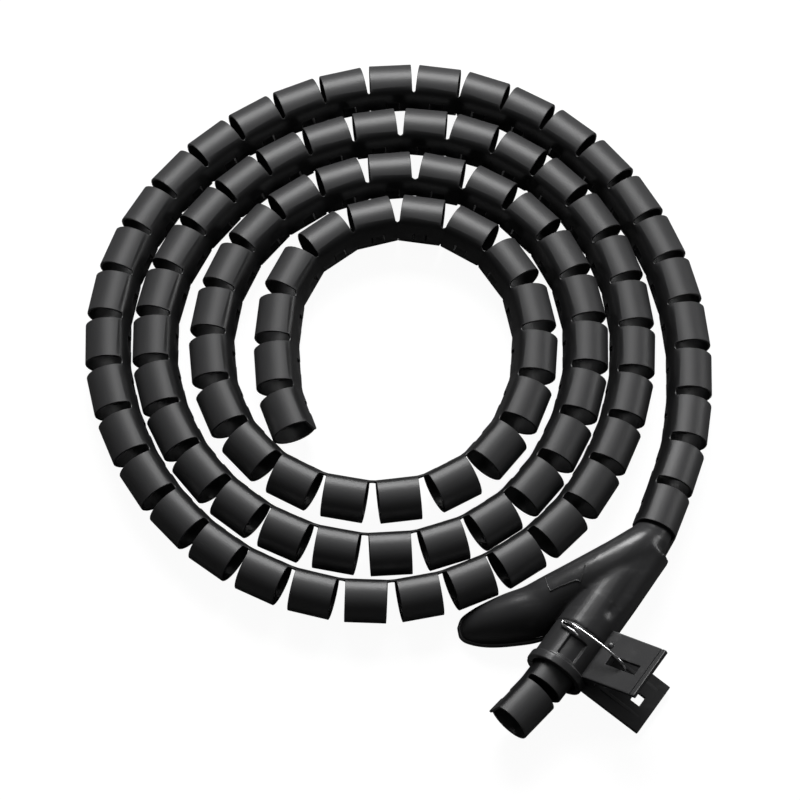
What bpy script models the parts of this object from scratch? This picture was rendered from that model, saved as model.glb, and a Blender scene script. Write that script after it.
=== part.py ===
"""Spiral cable wrap: a loose flat coil of split ringed tube with its clip-on applicator at the outer end.

The row frame is metres, +Z up, with the wrap lying on the floor z = 0. The tube is one moulding: straight
C-shaped rings on one continuous spine that keeps to the inside of the coil. The applicator is a scoop,
a neck that sits inside one ring, a barrel round the tube and a sprung two-plate clip at the barrel's end.
"""
import math

import bmesh
import bpy
import numpy as np
from mathutils import Matrix, Vector

MM = 0.001

# The tube: across its corners, its wall and the length of one ring on the spine.
TUBE_R = 9.7
WALL = 1.0
RING_LEN = 16.6
BARREL_PITCH = 19.1
SPINE_AT = 8.4

# Angles round the tube, from the side that faces the middle of the coil and over the top.
SPINE_FROM = -5.0
SPINE_TO = 55.5
FREE_END = 352.5
SPINE_FACETS = 2
RING_FACETS = 9

# The applicator lies along AXIS from its end flange back to the neck.
FLANGE_AT = Vector((62.6, -146.1, 13.0))
HEADING = 56.5
BORE_R = TUBE_R + 0.7
BARREL_R = BORE_R + 1.5
BARREL_LEN = 68.0
COLLAR_LEN = 28.0
FLANGE_R = BARREL_R + 1.0
FLANGE_T = 3.4
FULL_BORE = 50.0
GAP = 0.35

# The spread ring sits where the neck leaves the tube, after these whole rings from the outer mouth.
RINGS_IN_BARREL = 4
MOUTH_AT = 26.9
MOUTH_SWING = 4.0

# The coil: angle round the middle in degrees, then radius in millimetres, hand chosen from the outside in.
COIL = [
    (330, 126.8), (340, 123.6), (350, 120.0), (360, 118.0), (375, 116.0), (390, 115.6), (405, 116.6),
    (420, 117.9), (440, 119.2), (455, 118.8), (470, 117.6), (485, 117.4), (500, 118.1), (515, 119.2),
    (530, 120.0), (540, 120.0), (550, 119.1), (570, 117.8), (590, 116.4), (610, 114.4), (625, 112.3),
    (640, 108.8), (655, 105.0), (670, 101.9), (690, 97.3), (705, 95.7), (720, 95.4), (735, 95.9),
    (750, 97.0), (765, 98.1), (780, 98.9), (795, 99.5), (810, 99.4), (825, 98.2), (840, 97.9),
    (855, 98.1), (870, 99.4), (885, 100.7), (900, 100.7), (915, 99.4), (930, 98.2), (945, 96.4),
    (960, 94.6), (975, 92.6), (990, 90.3), (1005, 87.7), (1020, 84.8), (1035, 81.1), (1050, 78.0),
    (1065, 76.6), (1080, 76.3), (1095, 76.9), (1110, 78.0), (1125, 79.2), (1145, 79.9), (1165, 80.0),
    (1185, 79.0), (1205, 78.9), (1220, 78.7), (1240, 77.7), (1265, 77.2), (1285, 76.9), (1305, 74.6),
    (1323, 71.3), (1340, 68.2), (1358, 65.6), (1378, 62.3), (1400, 58.2), (1415, 56.2), (1435, 55.5),
    (1450, 55.8), (1469, 57.8), (1490, 60.0), (1512, 60.6), (1532, 60.5), (1552, 59.2), (1572, 57.6),
    (1590, 54.4), (1605, 51.6), (1620, 50.3), (1632, 51.2), (1645, 53.4), (1668, 58.0),
]
# How far round the coil a slot comes: slot number from the applicator, then angle in degrees.
SLOT_ANGLES = [
    (0, 320.6), (4, 359.8), (10, 419.2), (16, 475.0), (22, 533.6), (28, 595.6), (33, 651.4), (38, 713.0),
    (44, 786.6), (50, 856.4), (56, 927.6), (62, 1009.0), (66, 1073.0), (72, 1165.4), (78, 1255.6),
    (83, 1340.0), (87, 1426.0), (91, 1511.6), (95, 1593.0), (98, 1661.0),
]
COIL_HEIGHT = TUBE_R * math.cos(math.radians(16.5))
TOOL_HEIGHT = 13.0


# Helpers: meshes from points and faces, materials and solid cuts.
def new_material(name, colour, rough, metal):
    mat = bpy.data.materials.new(name)
    mat.use_nodes = True
    shader = mat.node_tree.nodes["Principled BSDF"]
    shader.inputs["Base Color"].default_value = (*colour, 1.0)
    shader.inputs["Roughness"].default_value = rough
    shader.inputs["Metallic"].default_value = metal
    return mat


def solid(name, points, faces, home, skin=False):
    """A closed mesh object; a skin has faces that aren't flat and is split into triangles."""
    mesh = bpy.data.meshes.new(name)
    mesh.from_pydata([tuple(c * MM for c in p) for p in points], [], faces)
    mesh.update()
    form = bmesh.new()
    form.from_mesh(mesh)
    if skin:
        bmesh.ops.triangulate(form, faces=form.faces)
    bmesh.ops.recalc_face_normals(form, faces=form.faces)
    form.to_mesh(mesh)
    form.free()
    obj = bpy.data.objects.new(name, mesh)
    home.objects.link(obj)
    return obj


def combine(target, other, how):
    """Adds, cuts or keeps the shared space of another solid, and leaves the result as plain mesh."""
    step = target.modifiers.new("step", "BOOLEAN")
    step.operation = how
    step.object = other
    step.solver = "EXACT"
    graph = bpy.context.evaluated_depsgraph_get()
    result = bpy.data.meshes.new_from_object(target.evaluated_get(graph))
    target.modifiers.clear()
    target.data = result


def trim(obj):
    """Joins points that a cut left a hair apart and splits every face into triangles."""
    form = bmesh.new()
    form.from_mesh(obj.data)
    bmesh.ops.remove_doubles(form, verts=form.verts, dist=2e-6)
    bmesh.ops.triangulate(form, faces=form.faces)
    bmesh.ops.dissolve_degenerate(form, edges=form.edges, dist=2e-6)
    bmesh.ops.triangulate(form, faces=form.faces)
    form.to_mesh(obj.data)
    form.free()


# The tool frame: a runs along the barrel and is 0 at the flange's end, o is outward to the plates.
ALONG = Vector((-math.cos(math.radians(HEADING)), -math.sin(math.radians(HEADING)), 0.0))
OUTWARD = Vector((math.sin(math.radians(HEADING)), -math.cos(math.radians(HEADING)), 0.0))


def tool_point(a, o, z):
    place = Vector((FLANGE_AT.x, FLANGE_AT.y, 0.0)) + ALONG * a + OUTWARD * o
    return (place.x, place.y, z)


def prism(name, outline, a0, a1, home):
    """A solid with the outline (o, z) from a0 to a1 along the barrel."""
    count = len(outline)
    points = [tool_point(a0, o, z) for o, z in outline]
    points += [tool_point(a1, o, z) for o, z in outline]
    faces = [list(range(count)), list(range(count, 2 * count))]
    for k in range(count):
        n = (k + 1) % count
        faces.append([k, n, n + count, k + count])
    return solid(name, points, faces, home)


def arc(radius, start, end, steps, centre=(0.0, TOOL_HEIGHT)):
    out = []
    for k in range(steps + 1):
        t = math.radians(start + (end - start) * k / steps)
        out.append((centre[0] + radius * math.cos(t), centre[1] + radius * math.sin(t)))
    return out


def disc(radius, steps=32, centre=(0.0, TOOL_HEIGHT)):
    return arc(radius, 0.0, 360.0, steps, centre)[:-1]


# The route of the tube: straight through the barrel, up to the coil and round it to the inner mouth.
def route():
    points = [Vector(tool_point(MOUTH_AT + 8.0, -MOUTH_SWING * 1.7, TOOL_HEIGHT))]
    points.append(Vector(tool_point(MOUTH_AT - 1.0, -MOUTH_SWING, TOOL_HEIGHT)))
    points.append(Vector(tool_point(9.0, 0.0, TOOL_HEIGHT)))
    points.append(Vector(tool_point(-BARREL_LEN - 3.0, 0.0, TOOL_HEIGHT)))
    points.append(Vector((107.4, -72.6, 12.4)))
    start, end = COIL[0][0], COIL[-1][0]
    table = np.array(COIL, dtype=float)
    for deg in np.arange(start, end + 0.5, 1.0):
        radius = float(np.interp(deg, table[:, 0], table[:, 1]))
        turn = math.radians(deg)
        rise = max(0.0, 1.0 - (deg - start) / 26.0)
        height = COIL_HEIGHT + (11.9 - COIL_HEIGHT) * rise * rise
        points.append(Vector((radius * math.cos(turn), radius * math.sin(turn), height)))
    return smooth_line(np.array([tuple(p) for p in points]), 0.5, 17)


def smooth_line(line, step, reach):
    """Resamples a line at even steps and rounds its corners with a short moving average."""
    run = np.concatenate([[0.0], np.cumsum(np.linalg.norm(np.diff(line, axis=0), axis=1))])
    count = int(run[-1] / step)
    even = np.linspace(0.0, run[-1], count)
    dense = np.stack([np.interp(even, run, line[:, k]) for k in range(3)], axis=1)
    kernel = np.ones(2 * reach + 1) / (2 * reach + 1)
    out = dense.copy()
    for k in range(3):
        out[reach:-reach, k] = np.convolve(dense[:, k], kernel, mode="valid")
    return out


def spine_line(line):
    """The same line moved to the spine, with the run length along it."""
    ahead = np.gradient(line, axis=0)
    side = np.stack([-ahead[:, 1], ahead[:, 0]], axis=1)
    side /= np.linalg.norm(side, axis=1)[:, None]
    spine = line.copy()
    spine[:, :2] += side * SPINE_AT
    run = np.concatenate([[0.0], np.cumsum(np.linalg.norm(np.diff(spine, axis=0), axis=1))])
    return spine, run


def at_run(spine, run, distance):
    return Vector([float(np.interp(distance, run, spine[:, k])) for k in range(3)])


def coil_angles(line):
    """The angle round the coil of each point of the line, counted on without a jump."""
    angles = np.degrees(np.unwrap(np.arctan2(line[:, 1], line[:, 0])))
    return angles + 360.0 * round((COIL[0][0] - float(angles.min())) / 360.0)


def ring_spans(line, spine, run):
    """Start and end of each ring along the spine, from the outer mouth to the inner one."""
    mouth = np.array(tool_point(MOUTH_AT, -MOUTH_SWING - SPINE_AT, TOOL_HEIGHT))
    here = float(run[np.argmin(np.linalg.norm(spine - mouth, axis=1))])
    spans = []
    for _ in range(RINGS_IN_BARREL + 1):
        spans.append((here, here + RING_LEN))
        here += BARREL_PITCH
    angles = coil_angles(line)
    low = int(np.argmin(angles))
    numbers = [number for number, _ in SLOT_ANGLES]
    anchors = [float(np.interp(angle, angles[low:], run[low:])) for _, angle in SLOT_ANGLES]
    slots = np.interp(np.arange(numbers[-1] + 1), numbers, anchors)
    for near, far in zip(slots[:-1], slots[1:]):
        middle = float(near + far) / 2.0
        spans.append((middle - RING_LEN / 2.0, middle + RING_LEN / 2.0))
    return spans


def ring_angles():
    angles = [SPINE_FROM + (SPINE_TO - SPINE_FROM) * k / SPINE_FACETS for k in range(SPINE_FACETS)]
    angles += [SPINE_TO + (FREE_END - SPINE_TO) * k / RING_FACETS for k in range(RING_FACETS + 1)]
    return [math.radians(a) for a in angles]


def ring_section(start, end, place):
    """Outer and inner corners of one end of a ring, in order round the tube."""
    ahead = (end - start).normalized()
    side = Vector((-ahead.y, ahead.x, 0.0)).normalized()
    up = ahead.cross(side)
    centre = place - side * SPINE_AT
    rows = []
    for radius in (TUBE_R, TUBE_R - WALL):
        rows.append([centre + (side * math.cos(t) + up * math.sin(t)) * radius for t in ring_angles()])
    return rows


def cable_wrap(home):
    """Every ring with its end faces, and the strip of spine that joins it to the next."""
    line = route()
    spine, run = spine_line(line)
    spans = ring_spans(line, spine, run)
    facets = SPINE_FACETS + RING_FACETS
    points = []
    faces = []
    last = None
    for index, (s0, s1) in enumerate(spans):
        start = at_run(spine, run, s0)
        end = at_run(spine, run, s1)
        base = len(points)
        for place in (start, end):
            outer, inner = ring_section(start, end, place)
            points += outer + inner
        spread = index == RINGS_IN_BARREL
        used = range(4, 9) if spread else range(facets)
        tail = index == len(spans) - 1
        in_tool = 2 <= index + 1 <= RINGS_IN_BARREL + 1
        bridge_next = () if tail else ((6, 7) if in_tool else (0, 1))
        bridge_prev = last[1] if last else ()
        add_ring(faces, base, facets, used, bridge_prev, bridge_next)
        if last:
            add_bridge(faces, last[0], base, facets, last[1])
        last = (base, bridge_next)
    used_points = sorted({v for f in faces for v in f})
    order = {v: k for k, v in enumerate(used_points)}
    faces = [[order[v] for v in f] for f in faces]
    points = [points[v] for v in used_points]
    return solid("cable_wrap", points, faces, home)


def corner(base, facets, end, layer, k):
    width = facets + 1
    return base + (2 * end + layer) * width + k


def add_ring(faces, base, facets, used, bridge_prev, bridge_next):
    for k in used:
        for layer in (0, 1):
            faces.append([corner(base, facets, 0, layer, k), corner(base, facets, 0, layer, k + 1),
                          corner(base, facets, 1, layer, k + 1), corner(base, facets, 1, layer, k)])
        for end, bridge in ((0, bridge_prev), (1, bridge_next)):
            if k not in bridge:
                faces.append([corner(base, facets, end, 0, k), corner(base, facets, end, 0, k + 1),
                              corner(base, facets, end, 1, k + 1), corner(base, facets, end, 1, k)])
    for k in (min(used), max(used) + 1):
        faces.append([corner(base, facets, 0, 0, k), corner(base, facets, 1, 0, k),
                      corner(base, facets, 1, 1, k), corner(base, facets, 0, 1, k)])


def add_bridge(faces, before, after, facets, bridge):
    for k in bridge:
        for layer in (0, 1):
            faces.append([corner(before, facets, 1, layer, k), corner(before, facets, 1, layer, k + 1),
                          corner(after, facets, 0, layer, k + 1), corner(after, facets, 0, layer, k)])
    for k in (min(bridge), max(bridge) + 1):
        faces.append([corner(before, facets, 1, 0, k), corner(after, facets, 0, 0, k),
                      corner(after, facets, 0, 1, k), corner(before, facets, 1, 1, k)])


# The scoop and neck: sections along a hand-chosen line, round in the neck and flat below at the mouth.
# Each row is x, y, height of the widest line, half width, rise above it and drop below it.
SCOOP = [
    (107.9, -69.8, 12.2, 7.7, 7.7, 7.7),
    (106.0, -75.4, 12.5, 7.7, 7.7, 7.7),
    (103.7, -81.7, 12.8, 7.7, 7.7, 7.7),
    (98.6, -88.0, 13.1, 8.2, 10.4, 8.2),
    (90.0, -95.2, 13.2, 8.9, 12.2, 8.6),
    (77.2, -103.2, 12.0, 9.6, 12.8, 8.5),
    (63.6, -110.6, 8.8, 10.4, 13.2, 6.4),
    (55.1, -115.6, 6.2, 11.6, 13.0, 4.6),
    (45.4, -117.9, 4.6, 10.9, 12.2, 3.4),
    (36.0, -120.0, 3.6, 9.0, 10.0, 2.6),
    (29.6, -121.4, 3.1, 6.6, 6.8, 2.1),
    (26.2, -122.0, 2.9, 4.2, 4.0, 1.9),
    (24.6, -122.3, 2.8, 1.6, 1.4, 1.8),
]
SCOOP_WALL = 1.5
SCOOP_SIDES = 20


def loft(name, rows, home, thin=0.0, dig=0.0, ends=(0.0, 0.0)):
    """A closed skin over the scoop's sections; thin shrinks them and dig lowers the flat ones."""
    points = []
    line = [Vector(r[:2]) for r in rows]
    for k, (x, y, z, half, rise, drop) in enumerate(rows):
        ahead = (line[min(k + 1, len(rows) - 1)] - line[max(k - 1, 0)]).normalized()
        side = Vector((-ahead.y, ahead.x))
        shift = ends[0] if k == 0 else (ends[1] if k == len(rows) - 1 else 0.0)
        place = Vector((x, y)) + ahead * shift
        flat = 1.0 - min(1.0, drop / max(half, 0.1))
        for s in range(SCOOP_SIDES):
            t = 2.0 * math.pi * s / SCOOP_SIDES
            wide = max(half - thin, 0.3) * math.cos(t)
            tall = max(rise - thin, 0.3) if math.sin(t) >= 0 else max(drop - thin, 0.3) + dig * flat
            spot = place + side * wide
            points.append((spot.x, spot.y, z + tall * math.sin(t)))
    faces = [list(range(SCOOP_SIDES)), [len(points) - SCOOP_SIDES + s for s in range(SCOOP_SIDES)]]
    for k in range(len(rows) - 1):
        for s in range(SCOOP_SIDES):
            n = (s + 1) % SCOOP_SIDES
            here = k * SCOOP_SIDES
            there = here + SCOOP_SIDES
            faces.append([here + s, here + n, there + n, there + s])
    return solid(name, points, faces, home, True)


# The clip: plates (o, z) from root to edge, the hinge line and the collar split.
UPPER_ROOT = (9.0, 17.6)
UPPER_EDGE = (36.4, 30.8)
LOWER_ROOT = (9.0, 11.0)
LOWER_EDGE = (39.8, 1.1)
PLATE_T = 2.0
UPPER_SPAN = (-28.0, -3.7)
LOWER_SPAN = (-25.4, -1.0)
HINGE = (BARREL_R + 2.5, TOOL_HEIGHT + 1.5)
KNUCKLE_R = 2.4
AXLE_R = 1.1


def plate(name, root, edge, span, up, home):
    run = Vector((edge[0] - root[0], edge[1] - root[1])).normalized()
    normal = Vector((-run.y, run.x)) * (PLATE_T * up)
    outline = [root, edge, (edge[0] + normal.x, edge[1] + normal.y), (root[0] + normal.x, root[1] + normal.y)]
    return prism(name, outline, span[0], span[1], home)


def box(name, a0, a1, o0, o1, z0, z1, home):
    return prism(name, [(o0, z0), (o1, z0), (o1, z1), (o0, z1)], a0, a1, home)


def applicator_body(home, cutters):
    body = prism("applicator_body", disc(BARREL_R), -BARREL_LEN, 0.0, home)
    low_top = TOOL_HEIGHT + 0.72 * BARREL_R
    shoulder = [(-14.0, low_top), (3.0, low_top), (6.0, 25.0), (-14.0, 25.0)]
    combine(body, prism("shoulder", shoulder, -BARREL_LEN - 2.0, -FULL_BORE - 1.5, cutters), "DIFFERENCE")
    combine(body, prism("flange", disc(FLANGE_R), -FLANGE_T, 0.0, cutters), "UNION")
    combine(body, plate("upper_plate", UPPER_ROOT, UPPER_EDGE, UPPER_SPAN, -1.0, cutters), "UNION")
    for a0, a1 in ((-COLLAR_LEN + 0.4, -COLLAR_LEN + 4.0), (-8.0, -4.2)):
        lug = [(10.8, 15.0), (HINGE[0] - 1.0, HINGE[1] - KNUCKLE_R), (HINGE[0] + 1.4, HINGE[1] - 2.2),
               (HINGE[0] + KNUCKLE_R, HINGE[1]), (HINGE[0] + KNUCKLE_R, 19.4), (10.7, 18.0)]
        combine(body, prism("lug", lug, a0, a1, cutters), "UNION")
    axle = prism("axle", disc(AXLE_R, 12, HINGE), -COLLAR_LEN + 2.0, -6.0, cutters)
    combine(body, axle, "UNION")
    combine(body, loft("scoop", SCOOP, cutters), "UNION")
    room = arc(FLANGE_R + 0.5, 180.0, 360.0, 16)
    room = [(o, z + GAP / 2) for o, z in room]
    combine(body, prism("jaw_room", room, -COLLAR_LEN - GAP, 5.0, cutters), "DIFFERENCE")
    slot = prism("spring_slot", [(20.4, 18.0), (30.8, 18.0), (30.8, 34.0), (20.4, 34.0)], -17.2, -12.6, cutters)
    combine(body, slot, "DIFFERENCE")
    combine(body, prism("bore", disc(BORE_R), -FULL_BORE, 5.0, cutters), "DIFFERENCE")
    hollow = loft("scoop_hollow", SCOOP[:-1], cutters, SCOOP_WALL, 9.0, (-2.0, -0.8))
    combine(body, hollow, "DIFFERENCE")
    sector = arc(BORE_R, 110.0, 300.0, 14)
    sector = [(-o, z) for o, z in sector]
    core = [(-o, z) for o, z in arc(TUBE_R - WALL - 1.1, 300.0, 110.0, 14)]
    channel = prism("ring_channel", sector + core, -BARREL_LEN - 8.0, -FULL_BORE + 2.0, cutters)
    combine(body, channel, "DIFFERENCE")
    return body


def clip_jaw(home, cutters):
    jaw = prism("clip_jaw", disc(BARREL_R), -COLLAR_LEN, 0.0, home)
    combine(jaw, prism("jaw_flange", disc(FLANGE_R), -FLANGE_T, 0.0, cutters), "UNION")
    top = TOOL_HEIGHT - GAP / 2
    upper = prism("upper_half", [(-20, top), (20, top), (20, 40), (-20, 40)], -COLLAR_LEN - 2, 5.0, cutters)
    combine(jaw, upper, "DIFFERENCE")
    combine(jaw, plate("lower_plate", LOWER_ROOT, LOWER_EDGE, LOWER_SPAN, 1.0, cutters), "UNION")
    for a in (-21.6, -7.6):
        rib = [(12.0, 9.8), (37.8, 1.9), (37.8, 4.0), (20.0, 10.0), (13.0, 11.0)]
        combine(jaw, prism("rib", rib, a, a + 1.6, cutters), "UNION")
    knuckle = [(11.4, 8.4), (HINGE[0] + 2.0, 9.0)] + arc(KNUCKLE_R, -20.0, 190.0, 10, HINGE)
    combine(jaw, prism("knuckle", knuckle, -COLLAR_LEN + 4.4, -8.4, cutters), "UNION")
    combine(jaw, prism("axle_bore", disc(AXLE_R + 0.4, 12, HINGE), -COLLAR_LEN + 1.0, -5.0, cutters), "DIFFERENCE")
    snap = box("snap", -COLLAR_LEN + 1.0, -5.0, HINGE[0], HINGE[0] + 5.0, HINGE[1] - 0.8, HINGE[1] + 0.8, cutters)
    combine(jaw, snap, "DIFFERENCE")
    combine(jaw, box("window", -15.1, -10.7, 30.0, 34.4, -2.0, 12.0, cutters), "DIFFERENCE")
    combine(jaw, prism("jaw_bore", disc(BORE_R), -COLLAR_LEN - 2, 5.0, cutters), "DIFFERENCE")
    return jaw


# The spring wire: points (a, o, z) from its hook on the collar, through the upper plate to the lower one.
SPRING = [
    (-18.6, -7.5, 23.3), (-18.6, -5.6, 24.7), (-18.2, -2.0, 26.4), (-17.6, 3.0, 27.4), (-17.0, 8.0, 27.9),
    (-16.3, 13.0, 28.4), (-15.6, 18.0, 28.5), (-15.1, 21.6, 27.6), (-14.9, 24.0, 25.4), (-14.8, 25.0, 22.0),
    (-14.8, 24.4, 18.0), (-14.9, 22.8, 14.0), (-15.0, 20.6, 10.8),
]
WIRE_R = 0.75
WIRE_SIDES = 8


def clip_spring(home):
    line = [Vector(tool_point(*p)) for p in SPRING]
    points = []
    faces = []
    for k, place in enumerate(line):
        ahead = (line[min(k + 1, len(line) - 1)] - line[max(k - 1, 0)]).normalized()
        side = ALONG - ahead * ALONG.dot(ahead)
        side.normalize()
        up = ahead.cross(side)
        for s in range(WIRE_SIDES):
            t = 2.0 * math.pi * s / WIRE_SIDES
            points.append(tuple(place + (side * math.cos(t) + up * math.sin(t)) * WIRE_R))
    faces.append(list(range(WIRE_SIDES)))
    faces.append([len(points) - WIRE_SIDES + s for s in range(WIRE_SIDES)])
    for k in range(len(line) - 1):
        for s in range(WIRE_SIDES):
            n = (s + 1) % WIRE_SIDES
            here = k * WIRE_SIDES
            there = here + WIRE_SIDES
            faces.append([here + s, here + n, there + n, there + s])
    return solid("clip_spring", points, faces, home)


def settle(objects):
    """Moves everything so that the origin is on the floor under the middle of the whole part."""
    spots = np.array([v.co for obj in objects for v in obj.data.vertices])
    low, high = spots.min(axis=0), spots.max(axis=0)
    shift = Matrix.Translation((-(low[0] + high[0]) / 2, -(low[1] + high[1]) / 2, -low[2]))
    print("moved by", [round(c, 6) for c in shift.translation])
    for obj in objects:
        obj.data.transform(shift)


def main():
    for obj in list(bpy.data.objects):
        bpy.data.objects.remove(obj)
    home = bpy.context.scene.collection
    cutters = bpy.data.collections.new("cutters")
    home.children.link(cutters)
    wrap = cable_wrap(home)
    body = applicator_body(home, cutters)
    jaw = clip_jaw(home, cutters)
    spring = clip_spring(home)
    trim(body)
    trim(jaw)
    settle([wrap, body, jaw, spring])
    for obj in cutters.objects:
        obj.hide_render = True
        obj.display_type = "WIRE"
    looks = (
        (wrap, "wrap_plastic", (0.02, 0.02, 0.021), 0.42, 0.0),
        (body, "tool_plastic", (0.016, 0.016, 0.017), 0.3, 0.0),
        (jaw, "jaw_plastic", (0.016, 0.016, 0.017), 0.3, 0.0),
        (spring, "spring_steel", (0.6, 0.6, 0.62), 0.25, 1.0),
    )
    for obj, name, colour, rough, metal in looks:
        obj.data.materials.clear()
        obj.data.materials.append(new_material(name, colour, rough, metal))


main()
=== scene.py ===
# %% [markdown]
# # A coil of split ringed cable wrap and its clip-on applicator
# The real thing is four mouldings and wires: the wrap, the applicator, the clip's lower jaw and a
# wire spring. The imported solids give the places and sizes. Here each is made again with the fine
# shape of a moulding: rounded slots, thin walls, beads, hems and small radii that catch the light.

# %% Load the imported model
import math

import bmesh
import bpy
import numpy as np
from mathutils import Matrix, Vector


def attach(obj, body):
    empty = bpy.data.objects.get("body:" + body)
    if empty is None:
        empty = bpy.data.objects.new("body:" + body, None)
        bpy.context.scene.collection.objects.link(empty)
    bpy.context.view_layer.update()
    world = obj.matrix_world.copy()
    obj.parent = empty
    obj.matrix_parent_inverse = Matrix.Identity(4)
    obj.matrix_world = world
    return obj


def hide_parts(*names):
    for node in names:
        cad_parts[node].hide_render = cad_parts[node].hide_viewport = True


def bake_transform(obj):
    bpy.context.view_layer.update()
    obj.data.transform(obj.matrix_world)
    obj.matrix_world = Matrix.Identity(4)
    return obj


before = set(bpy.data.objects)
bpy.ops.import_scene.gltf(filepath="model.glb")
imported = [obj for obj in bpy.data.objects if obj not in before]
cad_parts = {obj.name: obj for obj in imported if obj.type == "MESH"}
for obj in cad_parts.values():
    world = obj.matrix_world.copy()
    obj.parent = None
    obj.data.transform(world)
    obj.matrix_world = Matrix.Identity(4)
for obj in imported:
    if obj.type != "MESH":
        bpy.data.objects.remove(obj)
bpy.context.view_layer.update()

# %% [markdown]
# ## Sizes
# All lengths are in millimetres until a piece is finished. The solids were moved so that the origin
# is on the floor under their middle, and the same move is made here.

# %% Driving sizes
MM = 0.001
SETTLE = Vector((0.595, 22.991, 0.0))
TUBE_R = 9.5
WALL = 1.0
RING_LEN = 17.2
BARREL_PITCH = 19.1
SPINE_AT = 8.4
SPINE_FROM = -5.0
SPINE_TO = 57.0
FREE_END = 352.5
FLAT_MIDDLE = 25.0
FLAT_AT = 8.5
FLANGE_AT = Vector((62.6, -146.1, 13.0))
HEADING = 56.5
TOOL_HEIGHT = 13.0
BARREL_R = 11.9
BORE_R = 10.4
BARREL_LEN = 68.0
COLLAR_LEN = 28.0
FLANGE_R = 12.9
FLANGE_T = 3.4
BAND_AT = -20.0
RINGS_IN_BARREL = 4
MOUTH_AT = 26.6
MOUTH_SWING = 3.4
COIL_HEIGHT = 9.3
LIFT = 0.18

# %% [markdown]
# ## Camera, floor and light
# The photograph looks down on the coil from far away, so the tubes keep one width all over. A very
# long lens from twelve metres does that. The main light is a broad soft one behind the coil. A weak one
# hangs above it and another stands low on the right, and the room itself is dim.

# %% Camera
CAMERA_FROM = 12.0
ELEVATION = 66.0
PIXELS_PER_MM = 2.445
SENSOR = 36.0
PICTURE = 800.0
PICTURE_SHIFT = 48.4
MIDDLE_HEIGHT = 9.0
NEARER = 0.02


def place_camera():
    """A long lens that looks at the middle of the picture from the photograph's height."""
    rise = math.radians(ELEVATION)
    back = Vector((0.0, -math.cos(rise), math.sin(rise)))
    up = Vector((0.0, math.sin(rise), math.cos(rise)))
    target = Vector((0.0, 0.0, MIDDLE_HEIGHT)) + SETTLE - up * (PICTURE_SHIFT / PIXELS_PER_MM)
    data = bpy.data.cameras.new("camera")
    data.sensor_width = SENSOR
    data.lens = SENSOR * (CAMERA_FROM - NEARER) / (PICTURE / PIXELS_PER_MM * MM)
    data.clip_end = 60.0
    camera = bpy.data.objects.new("camera", data)
    bpy.context.scene.collection.objects.link(camera)
    camera.location = target * MM + back * CAMERA_FROM
    camera.rotation_mode = "QUATERNION"
    camera.rotation_quaternion = (-back).to_track_quat("-Z", "Y")
    bpy.context.scene.camera = camera
    print("lens", round(data.lens, 1), "mm")


place_camera()


# %% Lights
def soft_light(name, place, size, power):
    """A square soft box that points at the middle of the coil and isn't seen itself."""
    data = bpy.data.lights.new(name, "AREA")
    data.shape = "RECTANGLE"
    data.size = size[0]
    data.size_y = size[1]
    data.energy = power
    lamp = bpy.data.objects.new(name, data)
    lamp.location = place
    lamp.rotation_mode = "QUATERNION"
    lamp.rotation_quaternion = Vector(place).to_track_quat("Z", "Y")
    lamp.visible_camera = False
    bpy.context.scene.collection.objects.link(lamp)


def set_the_room(strength):
    """An even room, dim enough to leave the tubes dark."""
    world = bpy.data.worlds.new("room")
    world.use_nodes = True
    world.node_tree.nodes["Background"].inputs["Color"].default_value = (1.0, 1.0, 1.0, 1.0)
    world.node_tree.nodes["Background"].inputs["Strength"].default_value = strength
    bpy.context.scene.world = world
    bpy.context.scene.view_settings.view_transform = "Standard"


soft_light("key", (0.0, 1.75, 1.5), (1.5, 0.9), 66.0)
soft_light("top", (0.15, 0.5, 2.2), (1.3, 1.4), 2.5)
soft_light("right", (1.9, 0.5, 0.6), (0.5, 0.8), 6.5)
set_the_room(0.055)

# %% [markdown]
# ## Shader sums
# A finish is easier to read as a sum than as a net of nodes. A Value wraps a socket, and each sum on
# it adds a Math node. Every other node comes from one method of the Finish it belongs to.


# %% Values and finishes
class Value:
    """A number somewhere in a finish, that can be used in sums."""

    def __init__(self, finish, socket):
        self.finish = finish
        self.socket = socket

    def sum(self, operation, first, second):
        node = self.finish.add("ShaderNodeMath", {"operation": operation}, {0: first, 1: second})
        return Value(self.finish, node.outputs[0])

    def __add__(self, other):
        return self.sum("ADD", self, other)

    def __sub__(self, other):
        return self.sum("SUBTRACT", self, other)

    def __rsub__(self, other):
        return self.sum("SUBTRACT", other, self)

    def __mul__(self, other):
        return self.sum("MULTIPLY", self, other)

    __radd__ = __add__
    __rmul__ = __mul__


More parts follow.
